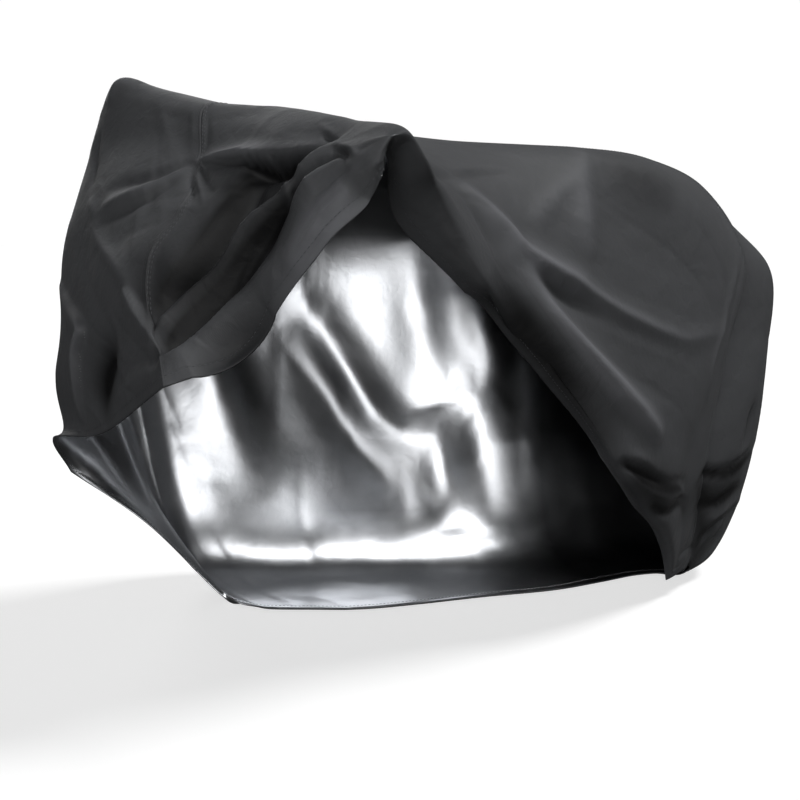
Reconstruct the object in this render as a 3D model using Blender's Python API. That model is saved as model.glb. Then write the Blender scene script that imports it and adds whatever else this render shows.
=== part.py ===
"""A charcoal bicycle cover, hung up as one open, draped sheet.

Two side panels, near_half and far_half, are sewn along one centre seam that runs up the front, over the top and
down the rear. The near side is lifted to one high point, the apex, so that the front hangs like a drawn curtain
and the near edge runs down to the rear. The far side falls to the ground, where its hem lies a little inwards.
Metres, +Z up. In the tables x runs from the front to the rear, y from the lifted side to the far one and z up
from the ground. The model's origin is CARRIED, the place under the top where the cloth is held up.
"""

from collections import namedtuple

import bpy
import numpy as np

THICKNESS = 0.002  # of the coated cloth
SEAM_GAP = 0.0003  # between the two panels at the seam
CARRIED = (0.120, 0.090, 1.093)  # where the cloth's underside is held up
LYING = 0.002  # height of the cloth's middle where it lies on the ground
CELLS_ACROSS = 21  # from the seam to a side hem
FOLD_STEPS = 80  # places where a fold's line is read
FINE_CELLS = 180  # each way of the grid where folds' lines are read
SEAM_REACH = 0.17  # share of a panel over which its sections are drawn to the seam

# Cells along the seam, closer together at the front, where the cloth is drawn into more folds.
Stretch = namedtuple("Stretch", "name start end cells")
STRETCHES = [
    Stretch("front", 0.00, 0.22, 18),
    Stretch("top", 0.22, 0.74, 23),
    Stretch("rear", 0.74, 1.00, 13),
]

CHARCOAL = (0.038, 0.039, 0.041)  # linear
ROUGHNESS = 0.7

# The centre seam, from the front hem over the top to the rear hem.
Place = namedtuple("Place", "name x y z")
SEAM = [
    Place("front hem", -0.159, -0.137, 0.650),
    Place("above the hem", -0.140, -0.070, 0.700),
    Place("front bulge", -0.128, 0.020, 0.768),
    Place("front", -0.105, 0.045, 0.852),
    Place("under the ridge", -0.030, 0.055, 0.925),
    Place("ridge's front", 0.038, 0.120, 1.007),
    Place("ridge's top", 0.083, 0.180, 1.104),
    Place("behind the ridge", 0.200, 0.170, 1.092),
    Place("mid top", 0.450, 0.120, 1.064),
    Place("before the crown", 0.700, 0.085, 1.052),
    Place("rear crown", 0.910, 0.055, 1.052),
    Place("rear top", 1.110, 0.030, 1.034),
    Place("rear shoulder", 1.265, -0.005, 0.975),
    Place("rear", 1.335, -0.090, 0.803),
    Place("rear waist", 1.278, -0.105, 0.622),
    Place("above the rear hem", 1.225, -0.115, 0.400),
    Place("rear hem", 1.215, -0.085, 0.075),
]

# Sections across each panel, a row each: the share of the seam where it starts, then points down to the hem.
# The near panel's edge is turned in over its hem, and the far panel's foot is where it meets the ground.
Near = namedtuple("Near", "name at shoulder wall low edge hem")
NEAR = [
    Near("front hem", 0.000, (-0.060, -0.190, 0.697), (-0.005, -0.235, 0.772),
         (0.060, -0.278, 0.862), (0.108, -0.315, 0.945), (0.128, -0.322, 0.988)),
    Near("hem panel", 0.066, (-0.080, -0.090, 0.765), (-0.010, -0.160, 0.850),
         (0.060, -0.230, 0.942), (0.125, -0.324, 1.004), (0.136, -0.312, 1.006)),
    Near("first ridge", 0.126, (-0.045, -0.040, 0.868), (0.022, -0.130, 0.945),
         (0.082, -0.220, 1.005), (0.136, -0.330, 1.032), (0.147, -0.300, 1.012)),
    Near("under the ridge", 0.175, (0.045, -0.010, 0.990), (0.075, -0.100, 1.018),
         (0.110, -0.200, 1.030), (0.148, -0.334, 1.038), (0.160, -0.285, 1.004)),
    Near("ridge", 0.224, (0.118, 0.080, 1.094), (0.142, -0.050, 1.086),
         (0.160, -0.180, 1.069), (0.170, -0.334, 1.036), (0.176, -0.265, 0.985)),
    Near("behind the ridge", 0.269, (0.200, 0.060, 1.085), (0.210, -0.080, 1.068),
         (0.207, -0.210, 1.044), (0.205, -0.326, 1.002), (0.190, -0.245, 0.955)),
    Near("behind the apex", 0.325, (0.310, 0.030, 1.068), (0.300, -0.100, 1.045),
         (0.285, -0.210, 1.010), (0.262, -0.292, 0.951), (0.222, -0.228, 0.905)),
    Near("mid", 0.406, (0.490, -0.010, 1.046), (0.460, -0.130, 0.985),
         (0.430, -0.205, 0.895), (0.390, -0.262, 0.789), (0.350, -0.225, 0.800)),
    Near("before the crown", 0.476, (0.690, -0.040, 1.040), (0.650, -0.130, 0.935),
         (0.605, -0.195, 0.780), (0.562, -0.236, 0.625), (0.528, -0.205, 0.640)),
    Near("rear crown", 0.545, (0.885, -0.070, 1.028), (0.865, -0.140, 0.850),
         (0.825, -0.190, 0.620), (0.775, -0.212, 0.428), (0.748, -0.185, 0.450)),
    Near("behind the crown", 0.615, (1.085, -0.075, 0.990), (1.060, -0.145, 0.760),
         (0.985, -0.185, 0.510), (0.888, -0.185, 0.324), (0.865, -0.160, 0.350)),
    Near("rear shoulder", 0.675, (1.215, -0.105, 0.855), (1.150, -0.155, 0.660),
         (1.060, -0.175, 0.440), (0.965, -0.160, 0.252), (0.945, -0.136, 0.278)),
    Near("rear", 0.734, (1.230, -0.135, 0.670), (1.155, -0.158, 0.535),
         (1.085, -0.160, 0.370), (1.030, -0.140, 0.205), (1.014, -0.119, 0.228)),
    Near("rear waist", 0.822, (1.198, -0.136, 0.460), (1.155, -0.146, 0.360),
         (1.117, -0.138, 0.255), (1.085, -0.120, 0.150), (1.074, -0.102, 0.168)),
    Near("above the rear hem", 0.909, (1.188, -0.122, 0.268), (1.163, -0.126, 0.212),
         (1.140, -0.119, 0.156), (1.118, -0.105, 0.100), (1.112, -0.091, 0.112)),
    Near("rear hem", 1.000, (1.200, -0.088, 0.063), (1.180, -0.090, 0.060),
         (1.160, -0.090, 0.056), (1.142, -0.090, 0.052), (1.138, -0.083, 0.047)),
]
Far = namedtuple("Far", "name at face edge side foot hem")
FAR = [
    Far("front hem", 0.000, (-0.148, 0.195, 0.505), (-0.157, 0.410, 0.456),
        (-0.135, 0.460, 0.425), (-0.110, 0.490, 0.390), (-0.092, 0.500, 0.360)),
    Far("low front", 0.056, (-0.152, 0.180, 0.690), (-0.138, 0.430, 0.585),
        (-0.090, 0.530, 0.500), (0.000, 0.540, 0.350), (0.090, 0.505, 0.200)),
    Far("front", 0.105, (-0.128, 0.250, 0.800), (-0.112, 0.450, 0.762),
        (-0.020, 0.560, 0.600), (0.120, 0.570, 0.250), (0.240, 0.480, 0.020)),
    Far("corner's bump", 0.154, (-0.075, 0.270, 0.935), (-0.090, 0.460, 0.868),
        (0.030, 0.575, 0.620), (0.220, 0.585, 0.060), (0.270, 0.430, 0.006)),
    Far("ridge's front", 0.189, (0.000, 0.300, 1.040), (-0.033, 0.460, 1.018),
        (0.070, 0.580, 0.650), (0.260, 0.590, 0.020), (0.290, 0.400, 0.006)),
    Far("ridge", 0.224, (0.048, 0.340, 1.133), (0.025, 0.452, 1.157),
        (0.110, 0.570, 0.750), (0.290, 0.585, 0.016), (0.310, 0.370, 0.006)),
    Far("behind the ridge", 0.269, (0.180, 0.340, 1.105), (0.170, 0.460, 1.085),
        (0.220, 0.570, 0.700), (0.350, 0.575, 0.015), (0.380, 0.320, 0.006)),
    Far("before the middle", 0.332, (0.360, 0.300, 1.060), (0.370, 0.430, 0.960),
        (0.400, 0.530, 0.550), (0.450, 0.550, 0.015), (0.480, 0.255, 0.006)),
    Far("mid", 0.406, (0.540, 0.260, 1.040), (0.550, 0.370, 0.900),
        (0.570, 0.470, 0.500), (0.600, 0.485, 0.015), (0.610, 0.205, 0.006)),
    Far("before the crown", 0.476, (0.720, 0.220, 1.025), (0.730, 0.330, 0.860),
        (0.740, 0.400, 0.450), (0.750, 0.385, 0.015), (0.770, 0.155, 0.006)),
    Far("rear crown", 0.545, (0.920, 0.190, 1.010), (0.930, 0.280, 0.840),
        (0.930, 0.330, 0.420), (0.920, 0.275, 0.015), (0.940, 0.095, 0.006)),
    Far("behind the crown", 0.615, (1.130, 0.170, 0.975), (1.160, 0.250, 0.780),
        (1.160, 0.290, 0.400), (1.090, 0.190, 0.015), (1.080, 0.070, 0.006)),
    Far("rear shoulder", 0.675, (1.360, 0.060, 0.920), (1.430, 0.150, 0.740),
        (1.430, 0.210, 0.380), (1.260, 0.140, 0.020), (1.170, 0.055, 0.008)),
    Far("rear", 0.734, (1.475, -0.045, 0.800), (1.545, 0.040, 0.620),
        (1.510, 0.110, 0.330), (1.360, 0.070, 0.030), (1.220, 0.030, 0.012)),
    Far("rear waist", 0.822, (1.420, -0.100, 0.600), (1.510, -0.040, 0.450),
        (1.500, 0.010, 0.250), (1.380, -0.010, 0.060), (1.235, -0.005, 0.018)),
    Far("above the rear hem", 0.909, (1.330, -0.115, 0.340), (1.410, -0.080, 0.250),
        (1.420, -0.050, 0.150), (1.340, -0.050, 0.060), (1.240, -0.035, 0.025)),
    Far("rear hem", 1.000, (1.225, -0.080, 0.068), (1.235, -0.074, 0.060),
        (1.243, -0.068, 0.052), (1.245, -0.062, 0.044), (1.240, -0.055, 0.036)),
]

# Folds, a row each: points of its line as (along, across) shares of the whole cloth, across -1 at the far hem,
# 0 at the seam and 1 at the near hem. Then how far it stands out, below 0 for a trough, and how wide it is.
Fold = namedtuple("Fold", "name line height width")
FOLDS = [
    Fold("roll under the ridge", ((0.206, 0.02), (0.201, 0.31), (0.194, 0.64)), 0.010, 0.040),
    Fold("crease under the ridge", ((0.184, 0.00), (0.180, 0.32), (0.173, 0.55)), -0.014, 0.022),
    Fold("front ridge", ((0.176, 0.59), (0.129, 0.45), (0.109, 0.32), (0.079, 0.18), (0.047, 0.01)),
         0.030, 0.030),
    Fold("valley above it", ((0.168, 0.53), (0.149, 0.31), (0.112, 0.20), (0.060, -0.02)), -0.016, 0.026),
    Fold("valley below it", ((0.109, 0.72), (0.096, 0.59), (0.084, 0.44), (0.050, 0.22), (0.024, 0.02)),
         -0.024, 0.024),
    Fold("hem's roll", ((0.098, 0.84), (0.036, 0.72), (0.024, 0.53), (0.012, 0.15)), 0.012, 0.034),
    Fold("far front ridge", ((0.184, -0.01), (0.167, -0.08), (0.156, -0.19)), 0.010, 0.030),
    Fold("far front trough", ((0.172, 0.01), (0.156, -0.08), (0.146, -0.20)), -0.014, 0.028),
    Fold("seam's ridge", ((0.150, 0.05), (0.125, 0.03), (0.103, -0.01)), 0.014, 0.026),
    Fold("diagonal ridge", ((0.140, -0.18), (0.114, -0.12), (0.082, -0.05)), 0.014, 0.024),
    Fold("front corner's trough", ((0.100, -0.25), (0.064, -0.24), (0.020, -0.26)), -0.012, 0.030),
    Fold("upper side ridge", ((0.374, 0.61), (0.424, 0.60), (0.523, 0.57), (0.581, 0.56), (0.694, 0.41)),
         0.020, 0.036),
    Fold("trough below it", ((0.400, 0.72), (0.447, 0.69), (0.537, 0.62), (0.600, 0.60)), -0.010, 0.030),
    Fold("lower side ridge", ((0.430, 0.71), (0.480, 0.76), (0.534, 0.77), (0.616, 0.79)), 0.020, 0.034),
    Fold("near edge's trough", ((0.414, 0.83), (0.481, 0.86), (0.546, 0.87), (0.630, 0.88)), -0.010, 0.024),
    Fold("crown's crease", ((0.521, 0.19), (0.508, 0.34), (0.507, 0.50)), -0.007, 0.028),
    Fold("crown's tension", ((0.509, 0.24), (0.481, 0.40), (0.456, 0.55)), 0.008, 0.030),
    Fold("rear gather, upper", ((0.609, 0.93), (0.660, 0.86), (0.791, 0.74), (0.916, -0.05), (0.895, -0.35)),
         0.010, 0.022),
    Fold("rear gather, lower", ((0.740, 0.90), (0.860, 0.70), (0.945, -0.10), (0.905, -0.45)), -0.010, 0.018),
    Fold("rear notch", ((0.855, -0.16), (0.880, -0.20), (0.905, -0.26)), -0.012, 0.024),
    Fold("far wall, long ridge", ((0.300, -0.26), (0.380, -0.40), (0.433, -0.51), (0.480, -0.63)),
         0.022, 0.045),
    Fold("far wall, front", ((0.235, -0.30), (0.270, -0.45), (0.330, -0.68)), 0.026, 0.060),
    Fold("far wall, middle", ((0.460, -0.26), (0.475, -0.40), (0.500, -0.62)), -0.022, 0.050),
    Fold("far wall, rear", ((0.560, -0.24), (0.560, -0.42), (0.575, -0.64)), 0.022, 0.055),
    Fold("far wall, end", ((0.660, -0.22), (0.665, -0.40), (0.680, -0.62)), -0.020, 0.060),
    Fold("corner's swag", ((0.215, -0.32), (0.150, -0.44), (0.080, -0.62)), 0.020, 0.050),
]


def smooth(knots, values, places):
    """A smooth curve through the values at the knots, read at the given places."""
    knots, values, places = (np.asarray(a, float) for a in (knots, values, places))
    shape = (-1,) + (1,) * (values.ndim - 1)
    steps = np.diff(knots).reshape(shape)
    slopes = np.diff(values, axis=0) / steps
    inner = (slopes[:-1] * steps[1:] + slopes[1:] * steps[:-1]) / (steps[:-1] + steps[1:])
    tangents = np.concatenate([slopes[:1], inner, slopes[-1:]])
    k = np.clip(np.searchsorted(knots, places, side="right") - 1, 0, len(knots) - 2)
    h = steps[k]
    t = (places - knots[k]).reshape(shape) / h
    return (
        (2 * t**3 - 3 * t**2 + 1) * values[k]
        + (t**3 - 2 * t**2 + t) * h * tangents[k]
        + (3 * t**2 - 2 * t**3) * values[k + 1]
        + (t**3 - t**2) * h * tangents[k + 1]
    )


def run_length(points):
    """How far along a line of points each one lies."""
    steps = np.linalg.norm(np.diff(points, axis=0), axis=-1)
    return np.concatenate([[0.0], np.cumsum(steps)])


def seam_line(along):
    """The seam at the given shares of its length."""
    points = np.array([(p.x, p.y, p.z) for p in SEAM])
    run = run_length(points)
    return smooth(run / run[-1], points, along)


def panel(sections, along, across):
    """Points of one panel, along the seam by across it, both as shares from 0 to 1."""
    rows = []
    for section in sections:
        points = np.array([seam_line([section.at])[0], *section[2:]])
        run = run_length(points)
        rows.append(smooth(run / run[-1], points, across))
    return smooth([s.at for s in sections], np.array(rows), along)


def cloth(along, across):
    """Points of the whole cloth before its folds; across runs from -1 at the far hem to 1 at the near one."""
    seam = seam_line(along)[:, None]
    sides = []
    for sections, shares in ((FAR, -across[across < 0]), (NEAR, across[across >= 0])):
        points = panel(sections, along, shares)
        astray = seam - panel(sections, along, [0.0])
        sides.append(points + astray * np.exp(-shares / SEAM_REACH)[:, None])
    return np.concatenate(sides, axis=1)


def read_grid(grid, along, across):
    """Points of a grid of the whole cloth at the given places."""
    i = np.clip(along, 0, 1) * (grid.shape[0] - 1)
    j = (np.clip(across, -1, 1) + 1) / 2 * (grid.shape[1] - 1)
    i0 = np.minimum(i.astype(int), grid.shape[0] - 2)
    j0 = np.minimum(j.astype(int), grid.shape[1] - 2)
    u, v = (i - i0)[:, None], (j - j0)[:, None]
    front = grid[i0, j0] * (1 - v) + grid[i0, j0 + 1] * v
    back = grid[i0 + 1, j0] * (1 - v) + grid[i0 + 1, j0 + 1] * v
    return front * (1 - u) + back * u


def normals(points):
    """The cloth's outward directions."""
    lengthwise = np.gradient(points, axis=0)
    crosswise = np.gradient(points, axis=1)
    out = np.cross(crosswise, lengthwise)
    return out / np.linalg.norm(out, axis=-1, keepdims=True)


def fold_cloth(points):
    """The cloth with its folds pushed out or in, and with what would sink lying on the ground."""
    out = normals(points)
    smooth_cloth = cloth(np.linspace(0, 1, FINE_CELLS), np.linspace(-1, 1, FINE_CELLS))
    fade = np.sin(np.pi * (np.arange(FOLD_STEPS) + 0.5) / FOLD_STEPS) ** 0.6
    lift = np.zeros(points.shape[:2])
    for fold in FOLDS:
        turns = np.arange(len(fold.line))
        places = smooth(turns, fold.line, np.linspace(0, turns[-1], FOLD_STEPS))
        line = read_grid(smooth_cloth, places[:, 0], places[:, 1])
        distance = np.linalg.norm(points[:, :, None] - line, axis=-1)
        crest = np.exp(-((distance.min(-1) / fold.width) ** 2))
        lift += fold.height * fade[distance.argmin(-1)] * crest
    points = points + out * lift[..., None]
    points[..., 2] = np.maximum(points[..., 2], LYING)
    return points


def build_mesh(name, outer, inner):
    """One closed sheet between an outer and an inner grid of points."""
    rows, columns = outer.shape[:2]
    vertices = np.concatenate([outer.reshape(-1, 3), inner.reshape(-1, 3)]) - np.array(CARRIED)
    top = np.arange(rows * columns).reshape(rows, columns)
    under = top + rows * columns
    faces = []

    def add(a, b, c, d, turned):
        corners = [(a, b, c), (a, c, d)]
        faces.extend(tuple(int(k) for k in (f[::-1] if turned else f)) for f in corners)

    for i in range(rows - 1):
        for j in range(columns - 1):
            for sheet, turned in ((top, False), (under, True)):
                add(sheet[i, j], sheet[i, j + 1], sheet[i + 1, j + 1], sheet[i + 1, j], turned)
        for j, turned in ((0, False), (-1, True)):
            add(top[i, j], top[i + 1, j], under[i + 1, j], under[i, j], turned)
    for j in range(columns - 1):
        for i, turned in ((0, False), (-1, True)):
            add(top[i, j], under[i, j], under[i, j + 1], top[i, j + 1], turned)
    mesh = bpy.data.meshes.new(name)
    mesh.from_pydata(vertices.tolist(), [], faces)
    mesh.shade_smooth()
    return mesh


def cloth_material(name):
    material = bpy.data.materials.new(name)
    material.use_nodes = True
    shader = material.node_tree.nodes["Principled BSDF"]
    shader.inputs["Base Color"].default_value = (*CHARCOAL, 1.0)
    shader.inputs["Roughness"].default_value = ROUGHNESS
    return material


def shares_along():
    """Places along the seam where the sheet's cells begin and end."""
    runs = [np.linspace(s.start, s.end, s.cells + 1)[:-1] for s in STRETCHES]
    return np.concatenate([*runs, [STRETCHES[-1].end]])


def seam_aside(points, out, seam):
    """At each place along the seam, the way across it to the near side."""
    aside = np.cross(out[:, seam], np.gradient(points[:, seam], axis=0))
    aside /= np.linalg.norm(aside, axis=-1, keepdims=True)
    to_near = points[:, seam + 1] - points[:, seam]
    return aside * np.sign((aside * to_near).sum(-1, keepdims=True))


def make_halves():
    points = fold_cloth(cloth(shares_along(), np.linspace(-1, 1, 2 * CELLS_ACROSS + 1)))
    out = normals(points)
    seam = CELLS_ACROSS
    half_gap = seam_aside(points, out, seam) * SEAM_GAP / 2
    for name, columns, edge, side in (
        ("near_half", slice(seam, None), 0, 1),
        ("far_half", slice(0, seam + 1), -1, -1),
    ):
        middle = points[:, columns].copy()
        middle[:, edge] += half_gap * side
        reach = out[:, columns] * THICKNESS / 2
        half = bpy.data.objects.new(name, build_mesh(name, middle + reach, middle - reach))
        half.data.materials.append(cloth_material(name))
        bpy.context.collection.objects.link(half)


def main():
    for thing in list(bpy.data.objects):
        bpy.data.objects.remove(thing, do_unlink=True)
    make_halves()


main()
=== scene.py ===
# %% [markdown]
# # A bicycle cover, hung up and lifted at one side
#
# The real thing is two big side panels of charcoal woven polyester, silver coated inside and sewn together
# along one centre seam. Here it hangs from its ridge and its crown, with the near side drawn up to one high
# point and the far side falling to the ground. Cloth like this can be simulated or shaped by hand. A
# simulation finds folds of its own, but these folds have to lie where they lie on the real one, so the cloth
# is shaped from listed folds.

# %% Load the frame
import math
from collections import namedtuple

import bpy
import numpy as np
from mathutils import Matrix, Vector


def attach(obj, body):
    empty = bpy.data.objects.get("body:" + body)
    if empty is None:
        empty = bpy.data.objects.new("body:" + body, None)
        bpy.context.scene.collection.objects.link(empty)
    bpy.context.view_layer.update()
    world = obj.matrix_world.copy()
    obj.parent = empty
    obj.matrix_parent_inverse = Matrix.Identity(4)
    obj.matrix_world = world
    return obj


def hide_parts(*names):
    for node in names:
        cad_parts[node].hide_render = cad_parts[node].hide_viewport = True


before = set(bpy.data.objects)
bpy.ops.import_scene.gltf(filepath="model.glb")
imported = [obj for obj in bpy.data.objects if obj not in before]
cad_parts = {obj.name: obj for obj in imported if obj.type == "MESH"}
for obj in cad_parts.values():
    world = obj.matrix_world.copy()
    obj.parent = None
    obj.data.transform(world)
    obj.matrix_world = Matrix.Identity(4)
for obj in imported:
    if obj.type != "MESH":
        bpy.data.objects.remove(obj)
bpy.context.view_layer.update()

# %% [markdown]
# ## The camera
#
# The camera stands in front of the cover's left corner, a little above its middle, and looks slightly down.
# Its place was found by fitting known sizes to a picture, so it is written as an eye point, three angles and
# a lens. Turning the angles into three axes by hand shows what a camera matrix is: right, up and back, then
# the eye.

# %% Stand the camera
# The tables start from the ground under the cover's front; the frame's origin is up under its ridge.
CARRIED = np.array([0.120, 0.090, 1.093])
EYE = np.array([-0.844, -1.707, 0.967]) - CARRIED
YAW, PITCH, ROLL = (math.radians(a) for a in (36.1, 11.2, 1.0))
LENS = 49.0


def placed(name, data):
    """A new object in the scene, at its origin."""
    made = bpy.data.objects.new(name, data)
    bpy.context.collection.objects.link(made)
    return made


ahead = Vector((math.sin(YAW) * math.cos(PITCH), math.cos(YAW) * math.cos(PITCH), -math.sin(PITCH)))
level = Vector((math.cos(YAW), -math.sin(YAW), 0))
upright = level.cross(ahead)
right = math.cos(ROLL) * level + math.sin(ROLL) * upright
up = math.cos(ROLL) * upright - math.sin(ROLL) * level
camera = placed("camera", bpy.data.cameras.new("camera"))
camera.data.lens = LENS
camera.matrix_world = Matrix((right, up, -ahead)).transposed().to_4x4()
camera.location = EYE
bpy.context.scene.camera = camera
print("camera at", np.round(EYE, 3).tolist())

# %% [markdown]
# ## The cloth's own shape
#
# A draped cover is easier to describe along its seam than in space. The seam is one line of named places, and
# from it sections run down each panel to the hem. Every point of the cloth then has an address: how far along
# the seam, from 0 at the front hem to 1 at the rear one, and how far across, from -1 at the far hem to 1 at
# the near one. Smooth curves through the sections, both ways, give the sheet before its folds.

# %% The seam's places
# The centre seam, from the front hem over the top to the rear hem, in millimetres.
Place = namedtuple("Place", "name x y z")
SEAM = [
    Place("front hem", -159, -137, 650),
    Place("above the hem", -140, -70, 700),
    Place("front bulge", -128, 20, 768),
    Place("front", -105, 45, 852),
    Place("under the ridge", -30, 55, 925),
    Place("ridge's front", 38, 120, 1007),
    Place("ridge's top", 83, 180, 1104),
    Place("behind the ridge", 200, 170, 1092),
    Place("mid top", 450, 120, 1064),
    Place("before the crown", 700, 85, 1052),
    Place("rear crown", 910, 55, 1052),
    Place("rear top", 1110, 30, 1034),
    Place("rear shoulder", 1265, -5, 975),
    Place("rear", 1335, -90, 803),
    Place("rear waist", 1278, -105, 622),
    Place("above the rear hem", 1225, -115, 400),
    Place("rear hem", 1215, -85, 75),
]
print(len(SEAM), "places on the seam")

# %% The panels' sections
# Sections across each panel, a row each: the share of the seam where it starts, then points down to the hem,
# in millimetres. The near panel's edge is turned in over its hem, and the far panel's foot meets the ground.
Near = namedtuple("Near", "name at shoulder wall low edge hem")
NEAR = [
    Near("front hem", 0.000, (-60, -190, 697), (-5, -235, 772), (60, -278, 862), (108, -315, 945),
        (128, -322, 988)),
    Near("hem panel", 0.066, (-80, -90, 765), (-10, -160, 850), (60, -230, 942), (125, -324, 1004),
        (136, -312, 1006)),
    Near("first ridge", 0.126, (-45, -40, 868), (22, -130, 945), (82, -220, 1005), (136, -330, 1032),
        (147, -300, 1012)),
    Near("under the ridge", 0.175, (45, -10, 990), (75, -100, 1018), (110, -200, 1030), (148, -334, 1038),
        (160, -285, 1004)),
    Near("ridge", 0.224, (118, 80, 1094), (142, -50, 1086), (160, -180, 1069), (170, -334, 1036),
        (176, -265, 985)),
    Near("behind the ridge", 0.269, (200, 60, 1085), (210, -80, 1068), (207, -210, 1044), (205, -326, 1002),
        (190, -245, 955)),
    Near("behind the apex", 0.325, (310, 30, 1068), (300, -100, 1045), (285, -210, 1010), (262, -292, 951),
        (222, -228, 905)),
    Near("mid", 0.406, (490, -10, 1046), (460, -130, 985), (430, -205, 895), (390, -262, 789),
        (350, -225, 800)),
    Near("before the crown", 0.476, (690, -40, 1040), (650, -130, 935), (605, -195, 780), (562, -236, 625),
        (528, -205, 640)),
    Near("rear crown", 0.545, (885, -70, 1028), (865, -140, 850), (825, -190, 620), (775, -212, 428),
        (748, -185, 450)),
    Near("behind the crown", 0.615, (1085, -75, 990), (1060, -145, 760), (985, -185, 510), (888, -185, 324),
        (865, -160, 350)),
    Near("rear shoulder", 0.675, (1215, -105, 855), (1150, -155, 660), (1060, -175, 440), (965, -160, 252),
        (945, -136, 278)),
    Near("rear", 0.734, (1230, -135, 670), (1155, -158, 535), (1085, -160, 370), (1030, -140, 205),
        (1014, -119, 228)),
    Near("rear waist", 0.822, (1198, -136, 460), (1155, -146, 360), (1117, -138, 255), (1085, -120, 150),
        (1074, -102, 168)),
    Near("above the rear hem", 0.909, (1188, -122, 268), (1163, -126, 212), (1140, -119, 156),
        (1118, -105, 100), (1112, -91, 112)),
    Near("rear hem", 1.000, (1200, -88, 63), (1180, -90, 60), (1160, -90, 56), (1142, -90, 52),
        (1138, -83, 47)),
]
Far = namedtuple("Far", "name at face edge side foot hem")
FAR = [
    Far("front hem", 0.000, (-148, 195, 505), (-157, 410, 456), (-135, 460, 425), (-110, 490, 390),
        (-92, 500, 360)),
    Far("low front", 0.056, (-152, 180, 690), (-138, 430, 585), (-90, 530, 500), (0, 540, 350), (90, 505, 200)),
    Far("front", 0.105, (-128, 250, 800), (-112, 450, 762), (-20, 560, 600), (120, 570, 250), (240, 480, 20)),
    Far("corner's bump", 0.154, (-75, 270, 935), (-90, 460, 868), (30, 575, 620), (220, 585, 60),
        (270, 430, 6)),
    Far("ridge's front", 0.189, (0, 300, 1040), (-33, 460, 1018), (70, 580, 650), (260, 590, 20),
        (290, 400, 6)),
    Far("ridge", 0.224, (48, 340, 1133), (25, 452, 1157), (110, 570, 750), (290, 585, 16), (310, 370, 6)),
    Far("behind the ridge", 0.269, (180, 340, 1105), (170, 460, 1085), (220, 570, 700), (350, 575, 15),
        (380, 320, 6)),
    Far("before the middle", 0.332, (360, 300, 1060), (370, 430, 960), (400, 530, 550), (450, 550, 15),
        (480, 255, 6)),
    Far("mid", 0.406, (540, 260, 1040), (550, 370, 900), (570, 470, 500), (600, 485, 15), (610, 205, 6)),
    Far("before the crown", 0.476, (720, 220, 1025), (730, 330, 860), (740, 400, 450), (750, 385, 15),
        (770, 155, 6)),
    Far("rear crown", 0.545, (920, 190, 1010), (930, 280, 840), (930, 330, 420), (920, 275, 15), (940, 95, 6)),
    Far("behind the crown", 0.615, (1130, 170, 975), (1160, 250, 780), (1160, 290, 400), (1090, 190, 15),
        (1080, 70, 6)),
    Far("rear shoulder", 0.675, (1360, 60, 920), (1430, 150, 740), (1430, 210, 380), (1260, 140, 20),
        (1170, 55, 8)),
    Far("rear", 0.734, (1475, -45, 800), (1545, 40, 620), (1510, 110, 330), (1360, 70, 30), (1220, 30, 12)),
    Far("rear waist", 0.822, (1420, -100, 600), (1510, -40, 450), (1500, 10, 250), (1380, -10, 60),
        (1235, -5, 18)),
    Far("above the rear hem", 0.909, (1330, -115, 340), (1410, -80, 250), (1420, -50, 150), (1340, -50, 60),
        (1240, -35, 25)),
    Far("rear hem", 1.000, (1225, -80, 68), (1235, -74, 60), (1243, -68, 52), (1245, -62, 44), (1240, -55, 36)),
]
print(len(NEAR), "near sections and", len(FAR), "far ones")

# %% Smooth curves through the tables
def smooth(knots, values, places):
    """A smooth curve through the values at the knots, read at the given places."""
    knots, values, places = (np.asarray(a, float) for a in (knots, values, places))
    shape = (-1,) + (1,) * (values.ndim - 1)
    steps = np.diff(knots).reshape(shape)
    slopes = np.diff(values, axis=0) / steps
    inner = (slopes[:-1] * steps[1:] + slopes[1:] * steps[:-1]) / (steps[:-1] + steps[1:])
    tangents = np.concatenate([slopes[:1], inner, slopes[-1:]])
    k = np.clip(np.searchsorted(knots, places, side="right") - 1, 0, len(knots) - 2)
    h = steps[k]
    t = (places - knots[k]).reshape(shape) / h
    return (
        (2 * t**3 - 3 * t**2 + 1) * values[k]
        + (t**3 - 2 * t**2 + t) * h * tangents[k]
        + (3 * t**2 - 2 * t**3) * values[k + 1]
        + (t**3 - t**2) * h * tangents[k + 1]
    )


def run_length(points):
    """How far along a line of points each one lies."""
    steps = np.linalg.norm(np.diff(points, axis=0), axis=-1)
    return np.concatenate([[0.0], np.cumsum(steps)])


def seam_line(along):
    """The seam at the given shares of its length."""
    points = np.array([(p.x, p.y, p.z) for p in SEAM]) / 1000
    run = run_length(points)
    return smooth(run / run[-1], points, along)


def panel(sections, along, across):
    """Points of one panel, along the seam by across it, both as shares from 0 to 1."""
    rows = []
    for section in sections:
        points = np.array([seam_line([section.at])[0], *np.array(section[2:]) / 1000])
        run = run_length(points)
        rows.append(smooth(run / run[-1], points, across))
    return smooth([s.at for s in sections], np.array(rows), along)

# %% [markdown]
# ## A fine grid
#
# The sheet is a grid of points. It is finer at the front, where the cloth is drawn into many folds, than on
# the smooth top and rear. Across, the far panel has more of its cells near the seam, where it can be seen
# from outside.

# %% Lay the grid
Stretch = namedtuple("Stretch", "name start end cells")
ALONG_CELLS = [
    Stretch("front", 0.00, 0.235, 140),
    Stretch("top", 0.235, 0.72, 96),
    Stretch("rear", 0.72, 1.00, 74),
]
ACROSS_CELLS = 154
EVEN_SHARE = 0.6  # of the far panel's spacing; the rest widens towards its hem
SEAM_REACH = 0.17  # share of a panel over which its sections are drawn to the seam

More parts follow.
